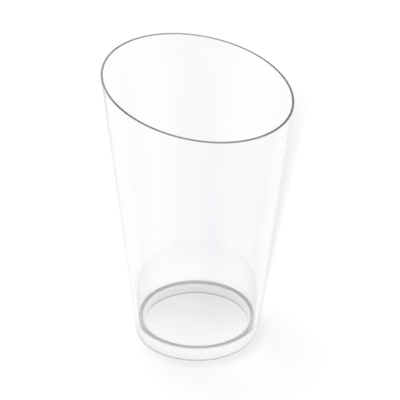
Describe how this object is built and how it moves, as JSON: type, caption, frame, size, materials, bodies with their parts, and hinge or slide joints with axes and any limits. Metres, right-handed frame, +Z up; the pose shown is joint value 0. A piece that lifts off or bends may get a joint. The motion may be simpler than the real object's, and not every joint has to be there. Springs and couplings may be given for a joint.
{
  "type": "slant-rim appetizer cup",
  "caption": "Clear one-piece plastic appetizer cup with a tapered wall, a lip cut on a slant and a floor held up on a hollow skirt foot.",
  "frame": {"origin": "on the cup's axis, in the plane of the foot's face", "axes": "+Z up along the cup's axis; the lip is lowest at the front, towards -Y, and highest at the back, towards +Y; the cup is the same on both sides of X = 0"},
  "size_m": [0.0506, 0.0506, 0.0822],
  "materials": {
    "clear_plastic": "clear gloss"
  },
  "bodies": {
    "root": {"cup": "clear_plastic"}
  },
  "joints": []
}
